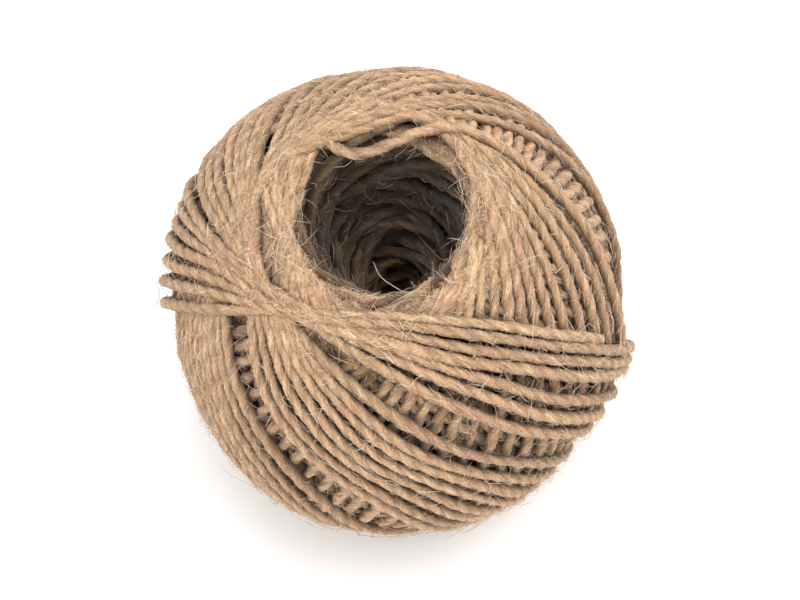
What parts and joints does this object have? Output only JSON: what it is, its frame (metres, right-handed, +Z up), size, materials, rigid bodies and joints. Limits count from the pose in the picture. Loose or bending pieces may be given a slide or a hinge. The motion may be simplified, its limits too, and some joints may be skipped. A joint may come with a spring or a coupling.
{
  "type": "ball of jute twine",
  "caption": "Ball of hairy jute twine wound in crossing turns around an open waisted hollow, standing on its flattened end.",
  "frame": {"origin": "on the winding axis, at the plane of the flat foot that the ball stands on", "axes": "+Z up along the winding axis, out of the hollow's upper mouth; -Y towards the viewer of the picture, +X to their right"},
  "size_m": [0.0802, 0.0803, 0.0701],
  "materials": {
    "jute": "matt undyed jute"
  },
  "bodies": {
    "root": {"wound_ball": "jute"}
  },
  "joints": []
}
